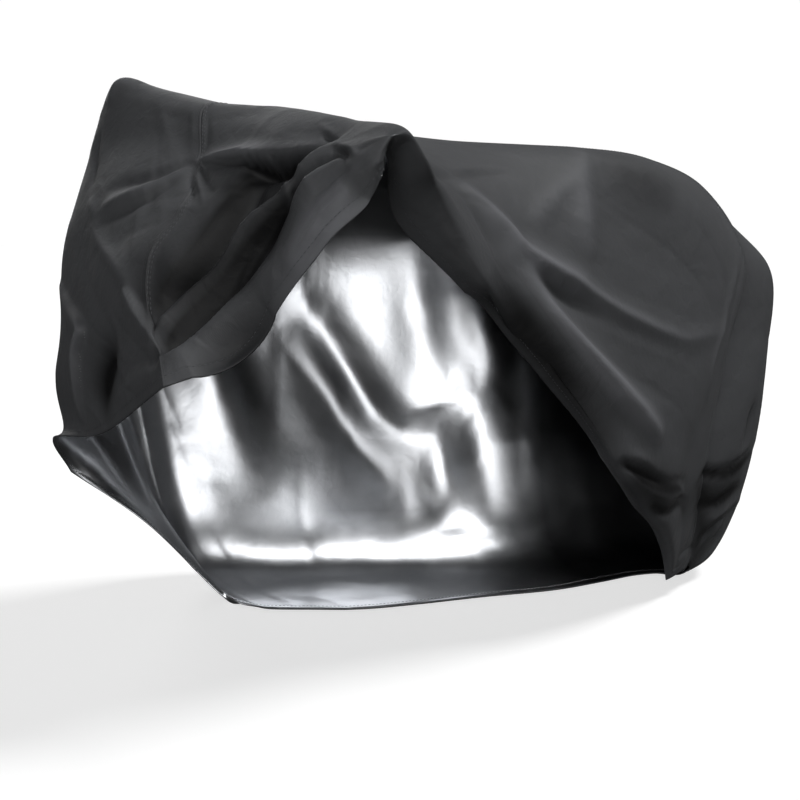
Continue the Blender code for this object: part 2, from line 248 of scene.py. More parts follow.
runs = [np.linspace(s.start, s.end, s.cells + 1)[:-1] for s in ALONG_CELLS]
ALONG = np.concatenate([*runs, [1.0]])
even = np.linspace(0, 1, ACROSS_CELLS + 1)
FAR_SHARES = EVEN_SHARE * even + (1 - EVEN_SHARE) * even**2
ACROSS = np.concatenate([-FAR_SHARES[:0:-1], even])
SEAM_COLUMN = ACROSS_CELLS


def cloth_without_folds():
    """Both panels as one sheet, each drawn to the seam."""
    seam = seam_line(ALONG)[:, None]
    sides = []
    for sections, shares in ((FAR, -ACROSS[ACROSS < 0]), (NEAR, ACROSS[ACROSS >= 0])):
        points = panel(sections, ALONG, shares)
        astray = seam - panel(sections, ALONG, [0.0])
        sides.append(points + astray * np.exp(-shares / SEAM_REACH)[:, None])
    return np.concatenate(sides, axis=1)


def normals(points):
    """The cloth's outward directions."""
    out = np.cross(np.gradient(points, axis=1), np.gradient(points, axis=0))
    return out / np.linalg.norm(out, axis=-1, keepdims=True)


smooth_cloth = cloth_without_folds()
print("grid of", smooth_cloth.shape[0], "by", smooth_cloth.shape[1], "points")

# %% [markdown]
# ## Folds
#
# A fold is a line on the cloth with a height, a width and a shape. A soft fold has a round crest; a crisp one
# comes to an edge, as coated cloth does when it is drawn tight. Where cloth is pushed together one layer laps
# over the next: such a fold is steep on one side, where it leans over the dark line beside it, and slopes
# away gently on the other. Main folds are pushed out of the smooth sheet first, and the smaller ones out of
# the result. A third table, of the same kind of rows, moves nothing: it says where shade is painted among
# the folds, and where a highlight is painted.

# %% The folds' table
# A line's places are in thousandths of along and across, and heights and widths in millimetres.
Fold = namedtuple("Fold", "name line height width crisp steep", defaults=(0, 0))
MAIN_FOLDS = [
    Fold("front peak", ((208, -177), (220, -163), (224, -132)), 12, 30, 0.8),
    Fold("roll under the ridge", ((208, -3), (204, 265), (193, 530)), 5, 34, 0.2),
    Fold("lap under the ridge", ((182, -7), (184, 103), (184, 230), (178, 360), (174, 475), (177, 577)), 24,
         22, 0.9, 1),
    Fold("shade of the lap", ((177, 203), (173, 308), (165, 425), (164, 542)), -24, 18, 0.3),
    Fold("recess between", ((147, 557), (128, 498), (113, 443), (100, 385), (93, 305), (82, 232), (61, 138),
         (30, -7)), -44, 72),
    Fold("first valley", ((170, 503), (167, 395), (165, 313), (156, 273), (142, 257), (124, 240),
         (106, 200), (84, 133), (62, 53)), -40, 30, 0.3),
    Fold("front ridge", ((178, 630), (147, 612), (131, 592), (118, 535), (115, 453), (117, 362), (113, 313),
         (105, 260), (95, 203), (82, 150), (67, 90), (47, 3)), 34, 24, 0.7, 1),
    Fold("second valley", ((112, 712), (114, 620), (99, 590), (84, 582), (71, 532), (65, 477), (61, 393),
         (61, 307), (57, 225), (41, 122), (26, 13)), -45, 26, 0.3),
    Fold("hem panel's lap", ((102, 798), (95, 725), (90, 653), (78, 608), (69, 552), (59, 473), (57, 392),
         (48, 302), (38, 190), (26, 90), (23, 10)), 34, 34, 0.5, 1),
    Fold("hem's flare", ((15, 883), (10, 815), (8, 748), (7, 678), (5, 542), (4, 418)), 26, 42, 0.2),
    Fold("hem's tuck", ((0, 435), (6, 353), (10, 278), (7, 185), (3, 95)), -26, 40, 0.2),
    Fold("hem panel's ridge", ((87, 852), (44, 808), (33, 723), (27, 615), (22, 532)), 7, 24, 0.3),
    Fold("upper fan trough", ((181, -7), (164, -75), (159, -162)), -10, 20, 0.4),
    Fold("fan ridge", ((176, -10), (157, -70), (148, -163)), 9, 18, 0.5),
    Fold("lower fan trough", ((165, -22), (146, -78), (137, -158)), -9, 17, 0.4),
    Fold("seam's hollow", ((142, 22), (119, 20), (99, 18), (83, 20), (61, 43)), -14, 40),
    Fold("diagonal ridge", ((143, -183), (130, -158), (115, -115), (89, -48), (72, -25)), 9, 20, 0.7),
    Fold("diagonal lap", ((83, -48), (72, -28), (50, -13), (33, -2)), 14, 22, 0.6, -0.9),
    Fold("left lap", ((105, -323), (79, -258), (64, -227), (52, -287), (32, -380), (10, -513)), 18, 30, 0.6,
         -0.6),
    Fold("front corner's recess", ((50, -115), (36, -217), (23, -318), (11, -415)), -24, 40, 0.2),
    Fold("hem strip at the corner", ((16, -33), (17, -103), (15, -177), (11, -263)), 8, 14, 0.3),
    Fold("upper side ridge", ((376, 587), (401, 622), (426, 643), (443, 665), (475, 632), (512, 575)), 30,
         36, 0.5),
    Fold("thin crest", ((442, 668), (455, 663), (475, 638), (496, 613), (516, 600), (538, 588), (563, 575),
         (591, 562), (635, 515), (740, 288)), 16, 24, 0.7),
    Fold("trough below it", ((447, 712), (477, 685), (499, 670), (523, 650)), -8, 22, 0.3),
    Fold("lower side ridge", ((439, 705), (457, 743), (475, 765), (498, 773), (519, 775), (551, 775),
         (588, 782), (615, 787)), 36, 36, 0.4),
    Fold("flank's tuck", ((409, 963), (429, 940), (448, 908), (472, 905), (491, 898), (518, 917),
         (551, 930)), -50, 45, 0.2),
    Fold("crown's facet", ((522, 148), (510, 313), (506, 420), (510, 520)), 18, 50, 1),
    Fold("crown's tension", ((508, 268), (482, 392), (456, 550)), 10, 30, 0.8),
    Fold("rear gather, upper", ((544, 895), (613, 860), (787, 725)), -9, 13, 0.4),
    Fold("rear gather, upper, far side", ((888, 322), (922, -140), (889, -370)), -9, 13, 0.4),
    Fold("rear gather, first ridge", ((602, 900), (659, 853), (813, 718)), 4, 12, 0.4),
    Fold("rear gather, lower", ((638, 898), (704, 855), (867, 662)), -7, 13, 0.4),
    Fold("rear gather, lower, far side", ((941, 150), (948, -177), (916, -412)), -8, 13, 0.4),
    Fold("rear gather, second ridge", ((965, -73), (954, -310), (900, -555)), 5, 12, 0.4),
    Fold("rear gather, last", ((979, -45), (970, -313), (945, -453)), -7, 13, 0.4),
    Fold("rear notch", ((868, -207), (884, -232), (903, -265)), -12, 18, 0.5),
    Fold("seam's rise at the rear", ((726, 40), (721, 187), (714, 335), (708, 458), (746, 502)), 8, 14, 0.6,
         -0.4),
    Fold("far wall, long ridge", ((362, -360), (400, -450), (440, -550), (490, -630)), 17, 50, 0.2),
    Fold("far wall, its valley", ((345, -410), (385, -500), (425, -600), (470, -680)), -12, 45, 0.2),
    Fold("far wall, front", ((235, -300), (270, -450), (330, -680)), 22, 60, 0.1),
    Fold("far wall, middle", ((460, -260), (475, -400), (490, -520)), -12, 60, 0.1),
    Fold("far wall, swell", ((490, -550), (505, -640), (515, -720), (515, -780)), 30, 70),
    Fold("far wall, dark fold", ((518, -330), (530, -400), (545, -460), (555, -520)), -18, 55, 0.2),
    Fold("far wall, rear", ((560, -240), (560, -420), (575, -640)), 18, 60, 0.1),
    Fold("far wall, end", ((660, -220), (665, -400), (680, -620)), -16, 60, 0.1),
    Fold("corner's swag", ((215, -320), (150, -440), (80, -620)), 20, 42, 0.4),
]
SMALL_FOLDS = [
    Fold("upper pinch", ((192, 548), (184, 595), (177, 638)), -12, 7, 0.4),
    Fold("upper pinch's ridge", ((205, 515), (192, 577), (167, 657)), 4, 9, 0.5),
    Fold("lower pinch", ((157, 663), (125, 743), (100, 802)), -14, 7, 0.4),
    Fold("lower pinch's ridge", ((175, 632), (128, 753), (98, 825)), 9, 9, 0.5),
    Fold("stub in the valley", ((125, 543), (110, 548), (98, 537)), 10, 11, 0.5),
    Fold("line in the valley", ((179, 348), (166, 353), (157, 333)), 6, 9, 0.6),
    Fold("first line on the hem panel", ((100, 788), (91, 743), (87, 683)), 5, 9, 0.8),
    Fold("second line on the hem panel", ((80, 830), (68, 775), (62, 713)), -4, 9, 0.8),
    Fold("line by the hem", ((43, 840), (32, 755), (24, 623)), 4, 9, 0.8),
    Fold("seam's pucker, left", ((225, -18), (204, -15), (185, -15)), 2, 8, 0.6),
    Fold("seam's pucker, right", ((228, 7), (205, 28), (187, 23)), -2, 8, 0.6),
    Fold("pucker under the lap", ((183, 3), (168, 68), (158, 142)), -6, 8, 0.8),
    Fold("pucker beside it", ((181, -3), (164, 28), (150, 107)), 6, 8, 0.8),
    Fold("third pucker", ((177, -10), (159, -2), (144, 42)), -5, 8, 0.8),
    Fold("front edge's line", ((199, -202), (189, -205), (177, -198), (165, -193)), -8, 10, 0.7),
    Fold("bump on the front", ((158, -197), (150, -183), (142, -172)), 5, 12, 0.4),
    Fold("line over the fan", ((184, -18), (172, -63), (164, -115)), 3, 9, 0.8),
    Fold("line from the apex", ((372, 637), (391, 685), (406, 722), (419, 763), (432, 775)), -6, 13, 0.6),
    Fold("shade under the top", ((297, 847), (404, 483), (451, 357)), -7, 13, 0.5),
    Fold("upper edge of that shade", ((376, 535), (422, 392), (457, 320)), 4, 12, 0.6),
    Fold("pocket's mouth", ((553, 935), (580, 873), (648, 842)), -7, 12, 0.5),
    Fold("pocket's lip", ((542, 913), (571, 857), (627, 833)), 5, 12, 0.5),
    Fold("low bulge's line", ((953, 755), (986, -98), (965, -373)), -5, 10, 0.7),
]
# Painted shade (negative heights) in valleys, gathers and under the lap; painted light (positive) on the hem
# panel.
PAINTED_SHADE_AND_LIGHT = [
    Fold("lap's dark edge", ((180, 58), (181, 222), (171, 393), (170, 552)), -24, 9),
    Fold("under the lap", ((172, 265), (166, 353), (160, 447), (156, 545)), -6, 16),
    Fold("first valley", ((180, 292), (169, 215), (150, 185), (135, 157), (116, 136), (92, 99), (71, 36),
         (50, -10)), -22, 26),
    Fold("first valley, by the ridge", ((179, 282), (167, 237), (151, 208), (137, 183), (121, 161),
         (95, 122), (73, 58)), -28, 18),
    Fold("second valley", ((123, 602), (112, 535), (99, 464), (94, 401), (85, 320), (75, 234), (54, 140),
         (29, 26)), -24, 18),
    Fold("second valley's foot", ((81, 304), (68, 198), (46, 93), (22, 11)), -30, 20),
    Fold("hem panel", ((64, 847), (42, 780), (30, 663), (24, 558)), 26, 34),
    Fold("front corner", ((38, -167), (27, -268), (14, -385)), -26, 40),
    Fold("flank's edge", ((404, 792), (443, 803), (481, 818), (519, 837)), -30, 30),
    Fold("lower side ridge", ((454, 740), (475, 765), (498, 773), (542, 777)), 14, 24),
    Fold("behind the crown", ((528, 232), (570, 222), (615, 225)), -20, 60),
    Fold("gathers", ((572, 910), (624, 878), (751, 802)), -32, 50),
    Fold("gathers, far side", ((891, 425), (941, -140), (907, -357)), -30, 50),
    Fold("gather's dark line", ((551, 898), (620, 862), (779, 750)), -50, 10),
    Fold("gather's lower dark line", ((638, 907), (696, 863), (857, 700)), -40, 10),
    Fold("gather's dark line, far side", ((850, 552), (925, -133), (874, -428)), -50, 10),
    Fold("gather's lower dark line, far side", ((903, 488), (949, -158), (908, -448)), -40, 10),
    Fold("low bulge", ((815, 865), (984, -207), (952, -453)), -31, 40),
]
print(len(MAIN_FOLDS), "main folds,", len(SMALL_FOLDS), "small ones and", len(PAINTED_SHADE_AND_LIGHT), "toned lines")

# %% Push the folds out
# Distances are in widths of the fold, and depths are shares of its height.
FOLD_STEPS = 24  # straight steps that a fold's line is cut into
REACH = 4.0  # how far from its line a fold still moves the cloth
FADE, FADE_END = 0.7, 0.01  # how evenly a fold dies away, 1 being a sine, and how near its ends that stops
EDGE, ROUNDING = 1.8, 0.2  # how fast a crisp crest falls, and how far its edge is rounded
FACE = 0.28  # how wide the drop on the steep side of a lapped fold is
TUCK = 0.8  # depth beside that drop
TURNOVER = 6.0  # how quickly a lapped fold changes from its gentle side to its steep one
LEAN, LEAN_REACH = 0.2, 0.6  # how far such a fold leans over, and how far from its line it does


def at_address(grid, places):
    """Values of a grid at the given (along, across) places of the cloth."""
    i = np.interp(places[:, 0], ALONG, np.arange(len(ALONG)))
    j = np.interp(places[:, 1], ACROSS, np.arange(len(ACROSS)))
    i0 = np.minimum(i.astype(int), len(ALONG) - 2)
    j0 = np.minimum(j.astype(int), len(ACROSS) - 2)
    u, v = (i - i0)[:, None], (j - j0)[:, None]
    front = grid[i0, j0] * (1 - v) + grid[i0, j0 + 1] * v
    back = grid[i0 + 1, j0] * (1 - v) + grid[i0 + 1, j0 + 1] * v
    return front * (1 - u) + back * u


def push(points, folds):
    """The cloth with its folds, and how far each point stands out."""
    out = normals(points)
    moved, lifted = points.copy(), np.zeros(points.shape[:2])
    for fold in folds:
        turns = np.arange(len(fold.line))
        places = smooth(turns, fold.line, np.linspace(0, turns[-1], FOLD_STEPS + 1))
        line = at_address(points, places)
        reach = REACH * fold.width
        inside = (points > line.min(0) - reach) & (points < line.max(0) + reach)
        chosen = np.nonzero(inside.all(-1))
        spots = points[chosen][:, None]
        step = line[1:] - line[:-1]
        share = np.clip(((spots - line[:-1]) * step).sum(-1) / (step**2).sum(-1), 0, 1)
        apart = spots - line[:-1] - share[..., None] * step
        distance = np.linalg.norm(apart, axis=-1)
        nearest = distance.argmin(-1)
        rows = np.arange(len(nearest))
        run = (nearest + share[rows, nearest]) / FOLD_STEPS
        fade = np.sin(np.pi * np.clip(run, FADE_END, 1 - FADE_END)) ** FADE
        rightward = np.cross(step, at_address(out, places[:-1]))
        rightward /= np.linalg.norm(rightward, axis=-1, keepdims=True)
        beside = (apart[rows, nearest] * rightward[nearest]).sum(-1) * (1 if fold.steep >= 0 else -1)
        lapped = abs(fold.steep) * (0.5 + 0.5 * np.tanh(TURNOVER * beside / fold.width))
        r = distance[rows, nearest] / fold.width
        knife = np.exp(-EDGE * (np.sqrt(r**2 + ROUNDING**2) - ROUNDING))
        crest = (1 - fold.crisp) * np.exp(-(r**2)) + fold.crisp * knife
        face = np.exp(-((r / FACE) ** 2))
        crest = (1 - lapped) * crest + lapped * (face - TUCK * (1 - face) * np.exp(-r))
        lean = LEAN * fold.steep * abs(fold.height) * fade * np.exp(-((r / LEAN_REACH) ** 2))
        lifted[chosen] += fold.height * fade * crest
        moved[chosen] += out[chosen] * (fold.height * fade * crest)[:, None]
        moved[chosen] += rightward[nearest] * lean[:, None]
    return moved, lifted


def measured(folds):
    """A table's rows as shares and metres."""
    for fold in folds:
        line, height, width = (np.array(given) / 1000 for given in fold[1:4])
        yield fold._replace(line=line, height=height, width=width)


folded, main_lift = push(smooth_cloth, measured(MAIN_FOLDS))
folded, small_lift = push(folded, measured(SMALL_FOLDS))
# The third table moves nothing; only its painted shade and light are kept.
_, painted_shade_and_light = push(folded, measured(PAINTED_SHADE_AND_LIGHT))
print("folds stand out up to", round(float((main_lift + small_lift).max() * 1000)), "mm")

# %% [markdown]
# ## Crumples
#
# Thin coated cloth that has been folded away keeps small, straight creases all over. They follow no drawing,
# but they do follow the pull in the cloth, so each area has a direction and the creases in it turn only a
# little from it. A seeded random generator lays the same creases each time.

# %% Lay the crumples
Area = namedtuple("Area", "name along across toward creases height")
AREAS = [
    Area("near front", (0.01, 0.19), (0.05, 0.92), (-0.13, -0.58), 22, 0.0020),
    Area("far front", (0.01, 0.21), (-0.26, -0.02), (-0.10, 0.12), 22, 0.0022),
    Area("ridge", (0.18, 0.36), (-0.20, 0.75), (0.02, 0.40), 16, 0.0014),
    Area("top", (0.36, 0.72), (-0.20, 0.45), (0.30, 0.10), 14, 0.0012),
    Area("near side", (0.34, 0.74), (0.40, 0.95), (0.30, -0.16), 22, 0.0014),
    Area("rear", (0.72, 0.98), (-0.45, 0.90), (0.10, 0.55), 26, 0.0014),
    Area("far wall", (0.10, 0.98), (-0.95, -0.22), (0.03, -0.30), 44, 0.0024),
]
CREASE_RUN = (0.2, 0.5)  # share of its area's direction that a crease runs
CREASE_TURN = 0.22  # how far it turns from that direction
CREASE_STRAY = (0.4, 1.0)  # how much of that turn counts along the seam and across it
CREASE_BEND = 0.10
CREASE_HEIGHT = (0.4, 1.0)  # share of its area's height
CREASE_WIDTH = (0.007, 0.020)
CREASE_CRISP = 0.8
rng = np.random.default_rng(7)


def crumples():
    """A fold for each crease, laid at random in its area."""
    for area in AREAS:
        for i in range(area.creases):
            start = np.array([rng.uniform(*area.along), rng.uniform(*area.across)])
            run = np.array(area.toward) * rng.uniform(*CREASE_RUN)
            run = run + rng.normal(0, CREASE_TURN, 2) * np.linalg.norm(run) * CREASE_STRAY
            bend = rng.normal(0, CREASE_BEND, 2) * np.abs(run)
            line = np.clip([start - run, start + bend, start + run], (0, -1), (1, 1))
            height = area.height * rng.uniform(*CREASE_HEIGHT) * rng.choice([-1, 1])
            yield Fold(area.name, line, height, rng.uniform(*CREASE_WIDTH), CREASE_CRISP)


creased, crumple_lift = push(folded, list(crumples()))
crumple_height = round(float(np.abs(crumple_lift).max() * 1000), 1)
print(sum(a.creases for a in AREAS), "creases, up to", crumple_height, "mm")

# %% [markdown]
# ## Where the cloth lies on the ground
#
# The far hem lies on the ground and can't go through it. Heights under the cloth's own thickness are raised
# to it.

# %% Rest the hem on the ground
GROUND = -CARRIED[2]
LYING = 0.0018  # lowest height of the cloth's middle
creased[..., 2] = np.maximum(creased[..., 2], LYING)
middle = creased - CARRIED
print("lowest point", round(float(middle[..., 2].min() - GROUND) * 1000, 1), "mm over the ground")

# %% [markdown]
# ## Two closed sheets
#
# A cloth with one colour outside and another inside needs two faces, so each half is a closed sheet: an outer
# grid, an inner grid and a rim. The hem is the cloth turned over twice, so the sheet is thicker there. Three
# values go with each point for the materials: its distance from the hem, its distance from the seam and how
# far it stands out, with the third table's painted shade and light added to the last. The UV map holds the
# flat cloth's own measures in metres, so a weave keeps its size in every fold.

# %% Measure the cloth
CLOTH = 0.0016  # thickness of the sheet
HEM_WIDTH, HEM_EXTRA, HEM_SOFT = 0.025, 0.0012, 0.0012  # width, extra thickness and softness of its step
FELL_WIDTH, FELL_EXTRA, FELL_SOFT = 0.011, 0.0008, 0.0010  # the same for the seam's flat fell, near side only
SEAM_GAP = 0.0002
PALEST_LIFT = 0.030  # a place that stands out this far gets the palest painted highlight
SMALL_SHARE, CRUMPLE_SHARE = 0.6, 0.8  # how much small folds and crumples count in that
DEEPEST = -1.35  # the darkest painted shade, where the third table deepens a trough


def distances(points, axis):
    """How far each point is along its row or column of the grid."""
    steps = np.linalg.norm(np.diff(points, axis=axis), axis=-1)
    start = np.zeros_like(np.take(steps, [0], axis=axis))
    return np.concatenate([start, np.cumsum(steps, axis=axis)], axis=axis)


def step_down(value, edge, soft):
    """1 below the edge and 0 above it, with a soft change."""
    return 1 / (1 + np.exp(np.clip((value - edge) / soft, -30, 30)))


lengthwise = distances(creased, 0)
crosswise = distances(creased, 1)
crosswise -= crosswise[:, [SEAM_COLUMN]]
from_seam = np.abs(crosswise)
from_hem = np.minimum.reduce(
    [lengthwise, lengthwise[[-1]] - lengthwise, crosswise - crosswise[:, [0]], crosswise[:, [-1]] - crosswise]
)
# Colour follows the folds: raised places get a painted highlight and sunk ones painted shade.
lift = main_lift + SMALL_SHARE * small_lift + CRUMPLE_SHARE * crumple_lift
lift_with_painted_shade_and_light = np.clip(np.clip(lift / PALEST_LIFT, -1, 1) + painted_shade_and_light / PALEST_LIFT, DEEPEST, 1)
print("seam", round(float(lengthwise[-1, SEAM_COLUMN]), 2), "m long")

# %% Make the halves
# Each half's columns of the grid, which of them is at the seam, and its side.
PANELS = {"near_half": (slice(SEAM_COLUMN, None), 0, 1), "far_half": (slice(0, SEAM_COLUMN + 1), -1, -1)}
out = normals(middle)
hem_extra = HEM_EXTRA * step_down(from_hem, HEM_WIDTH, HEM_SOFT)
fell_extra = FELL_EXTRA * step_down(from_seam, FELL_WIDTH, FELL_SOFT) * (crosswise >= 0)
outer = middle + out * (CLOTH / 2 + fell_extra)[..., None]
inner = middle - out * (CLOTH / 2 + hem_extra)[..., None]
aside = np.cross(out[:, SEAM_COLUMN], np.gradient(middle[:, SEAM_COLUMN], axis=0))
aside /= np.linalg.norm(aside, axis=-1, keepdims=True)
to_near = middle[:, SEAM_COLUMN + 1] - middle[:, SEAM_COLUMN]
aside *= np.sign((aside * to_near).sum(-1, keepdims=True)) * SEAM_GAP / 2


def sheet_faces(rows, columns):
    """Corner numbers of the outer faces, the inner faces and the rim of a closed sheet."""
    top = np.arange(rows * columns).reshape(rows, columns)
    under = top + rows * columns
    a, b, c, d = top[:-1, :-1], top[:-1, 1:], top[1:, 1:], top[1:, :-1]
    outside = np.stack([a, b, c, d], -1).reshape(-1, 4)
    inside = outside[:, ::-1] + rows * columns
    around = np.concatenate([top[0], top[1:, -1], top[-1, -2::-1], top[-2:0:-1, 0]])
    onward = np.roll(around, -1)
    rim = np.stack([onward, around, around + rows * columns, onward + rows * columns], -1)
    return outside, inside, rim


def make_half(name):
    """One half as a closed sheet, with what its materials read."""
    columns, edge, side = PANELS[name]
    layers = []
    for layer in (outer, inner):
        points = layer[:, columns].copy()
        points[:, edge] += aside * side
        layers.append(points.reshape(-1, 3))
    faces = sheet_faces(*middle[:, columns].shape[:2])
    mesh = bpy.data.meshes.new(name + "_cloth")
    mesh.from_pydata(np.concatenate(layers).tolist(), [], np.concatenate(faces).tolist())
    mesh.shade_smooth()
    inside_faces = np.repeat([0, 1, 0], [len(f) for f in faces])
    mesh.polygons.foreach_set("material_index", inside_faces)
    for title, values in (("from_hem", from_hem), ("from_seam", from_seam), ("lift_with_painted_shade_and_light", lift_with_painted_shade_and_light)):
        attribute = mesh.attributes.new(title, "FLOAT", "POINT")
        attribute.data.foreach_set("value", np.tile(values[:, columns].ravel(), 2).astype(np.float32))
    corners = np.empty(len(mesh.loops), int)
    mesh.loops.foreach_get("vertex_index", corners)
    flat = np.stack([lengthwise[:, [SEAM_COLUMN]] + 0 * crosswise, crosswise], -1)[:, columns].reshape(-1, 2)
    flat = np.tile(flat, (2, 1))[corners].ravel().astype(np.float32)
    mesh.uv_layers.new(name="cloth").data.foreach_set("uv", flat)
    return placed(name + "_cloth", mesh)


halves = {name: make_half(name) for name in PANELS}
for name, half in halves.items():
    print(name, "has", 2 * len(half.data.polygons), "triangles")

# %% [markdown]
# ## Colours and nodes
#
# Colours are easiest to read off a picture as sRGB hex, while shaders work in linear light, so one function
# turns one into the other. One small function adds a node with its settings, and fills its sockets with the
# help of another, which also fills those of a node that is there already.

# %% Helpers for materials
def linear(hex_colour, alpha=1.0):
    """An sRGB colour such as #3a3b3d as linear numbers."""
    parts = [int(hex_colour[i : i + 2], 16) / 255 for i in (1, 3, 5)]
    return (*[p / 12.92 if p <= 0.04045 else ((p + 0.055) / 1.055) ** 2.4 for p in parts], alpha)


def fill(tree, node, sockets):
    """Give a node's sockets a value, an output, or another node, which stands for its first output in use."""
    for socket, value in sockets.items():
        if isinstance(value, bpy.types.Node):
            value = next(output for output in value.outputs if output.enabled)
        if isinstance(value, bpy.types.NodeSocket):
            tree.links.new(value, node.inputs[socket])
        else:
            node.inputs[socket].default_value = value


def add(tree, kind, sockets=None, **settings):
    """A new node with its settings and sockets."""
    made = tree.nodes.new(kind)
    for name, value in settings.items():
        setattr(made, name, value)
    fill(tree, made, sockets or {})
    return made


def new_material(name):
    """A material with its node tree and its shader."""
    material = bpy.data.materials.new(name)
    material.use_nodes = True
    return material, material.node_tree, material.node_tree.nodes["Principled BSDF"]


# %% [markdown]
# ## Bump from several patterns
#
# What is too small for the mesh is left to bump: a pattern's height, times its depth, tilts the light. A
# cloth has several patterns, so one function adds them up. Both faces of the cover show the grooves that its
# stitches pull.

# %% Helpers for the bump
HEM_ROW, SEAM_ROWS = 0.022, (0.0035, 0.0085)  # how far stitches run from a hem and from the seam
Groove = namedtuple("Groove", "measure place width depth")
GROOVES = [
    Groove("from_hem", HEM_ROW, 0.0022, -0.0006),
    *(Groove("from_seam", row, 0.0018, -0.0005) for row in SEAM_ROWS),
]


def bump(tree, patterns):
    """Bump from patterns added up, each with its own depth in metres."""
    height = 0.0
    for pattern, depth in patterns:
        height = add(tree, "ShaderNodeMath", {0: pattern, 1: depth, 2: height}, operation="MULTIPLY_ADD")
    return add(tree, "ShaderNodeBump", {"Strength": 1.0, "Distance": 1.0, "Height": height})


def grooves(tree):
    """The grooves that the stitches pull beside the hem and the seam, as patterns with their depths."""
    for groove in GROOVES:
        measure = add(tree, "ShaderNodeAttribute", attribute_name=groove.measure).outputs["Fac"]
        near = {0: measure, 1: groove.place, 2: groove.width}
        yield add(tree, "ShaderNodeMath", near, operation="COMPARE"), groove.depth


def weave(tree, yarn):
    """A plain weave: yarns pass over and under each other like the squares of a chessboard."""
    split = add(tree, "ShaderNodeSeparateXYZ", {0: add(tree, "ShaderNodeUVMap", uv_map="cloth")})
    waves = {}
    for i, axis in enumerate(("X", "Y")):
        turn = add(tree, "ShaderNodeMath", {0: split.outputs[axis], 1: math.pi / yarn}, operation="MULTIPLY")
        waves[i] = add(tree, "ShaderNodeMath", {0: turn}, operation="SINE")
    return add(tree, "ShaderNodeMath", waves, operation="MULTIPLY")


# %% [markdown]
# ## The outside: coated polyester
#
# The face is plain-woven polyester yarn, dyed charcoal and coated behind, so it looks matt with a faint satin
# light on the crests. The yarns are 0.4 mm apart on the real cloth, which no picture of the whole cover can
# show; they are drawn 1.6 mm apart. Crests get a painted highlight and a little wear, troughs painted shade.

# %% Charcoal polyester
# The cloth's own charcoal, then a painted highlight for crests that also stands for a little wear, then painted
# shade for troughs.
CHARCOAL, WORN_AND_PAINTED_HIGHLIGHT, PAINTED_TROUGH_SHADE = "#48494b", "#77787c", "#0e0e0f"
HIGHLIGHT_START, HIGHLIGHT_MOST = 0.1, 0.6  # how far a place stands out before its painted highlight starts, and how much paler a crest is painted
BLOTCHES, UNEVEN = 5.0, 0.35  # blotches about 200 mm across, and how much they change the colour
YARN, YARN_DEPTH = 0.0016, 0.00007  # spacing as drawn
CRINKLES, CRINKLE_DEPTH = 38.0, 0.0016  # about 26 mm across
DENTS, DENT_DEPTH = 16.0, 0.0020  # about 60 mm across


def charcoal_polyester():
    """Matt: a rough surface with little gloss and a trace of fuzz, with painted shade in troughs and a painted
    highlight on crests.
    """
    material, tree, shader = new_material("coated polyester, charcoal")
    place = add(tree, "ShaderNodeTexCoord").outputs["Object"]
    crest = add(tree, "ShaderNodeAttribute", attribute_name="lift_with_painted_shade_and_light").outputs["Fac"]
    sizes = {"Vector": place, "Scale": BLOTCHES, "Detail": 5.0, "Roughness": 0.6}
    blotches = add(tree, "ShaderNodeTexNoise", sizes)
    uneven = add(tree, "ShaderNodeMath", {0: blotches, 1: 0.5}, operation="SUBTRACT")
    shade = add(tree, "ShaderNodeMath", {0: uneven, 1: UNEVEN, 2: crest}, operation="MULTIPLY_ADD")
    # Painted shade where the cloth sinks, and a painted highlight where it stands out.
    deep = add(tree, "ShaderNodeMapRange", {0: shade, 1: 0.0, 2: DEEPEST, 3: 0.0, 4: 1.0})
    dark = add(tree, "ShaderNodeMix", {0: deep, 6: linear(CHARCOAL), 7: linear(PAINTED_TROUGH_SHADE)}, data_type="RGBA")
    pale = add(tree, "ShaderNodeMapRange", {0: shade, 1: HIGHLIGHT_START, 2: 1.0, 3: 0.0, 4: HIGHLIGHT_MOST})
    colour = add(tree, "ShaderNodeMix", {0: pale, 6: dark, 7: linear(WORN_AND_PAINTED_HIGHLIGHT)}, data_type="RGBA")
    sizes = {"Vector": place, "Scale": CRINKLES, "Detail": 3.0, "Distortion": 0.6}
    crinkles = add(tree, "ShaderNodeTexNoise", sizes)
    sizes = {"Vector": place, "Scale": DENTS, "Smoothness": 0.5}
    dents = add(tree, "ShaderNodeTexVoronoi", sizes, feature="SMOOTH_F1")
    patterns = [(crinkles, CRINKLE_DEPTH), (dents, DENT_DEPTH), (weave(tree, YARN), YARN_DEPTH)]
    raised = bump(tree, [*patterns, *grooves(tree)])
    fill(tree, shader, {"Base Color": colour, "Normal": raised, "Roughness": 0.6})
    fill(tree, shader, {"Specular IOR Level": 0.16, "Sheen Weight": 0.02, "Sheen Roughness": 0.4})
    return material


# %% [markdown]
# ## The inside: silver coating
#
# The back of the cloth is painted with a polyurethane film full of aluminium flakes, to keep light off. It
# reflects like dull metal, and because it is a thin film on crumpled cloth it breaks up into bright and dark
# patches. Under the roof, towards the rear and in a slanting band of the wall it gets painted shade: a room
# this plain gives it nothing dark to mirror there, so its colour is darkened, under the roof nearly to black.

# %% Where shade is painted on the coating
# The colour of the painted shade inside the coating.
COATING_SHADE_COLOUR = "#2b2c2e"
BAND_ACROSS, BAND_MIDDLE = (0.815, 0.0, 0.580), 0.071  # the direction across the band, and its place
# Where the painted shade lies: towards the rear, under the roof, and in a slanting band above the wall's foot.
Ramp = namedtuple("Ramp", "measure start end before after")
RAMPS = {
    "rear": Ramp("X", 0.76, 0.96, 0.0, 0.85),
    "roof": Ramp("Z", -0.33, -0.24, 0.0, 0.85),
    "band": Ramp("from the band", 0.08, 0.17, 0.62, 0.0),
    "above the foot": Ramp("Z", -1.02, -0.94, 0.0, 1.0),
}


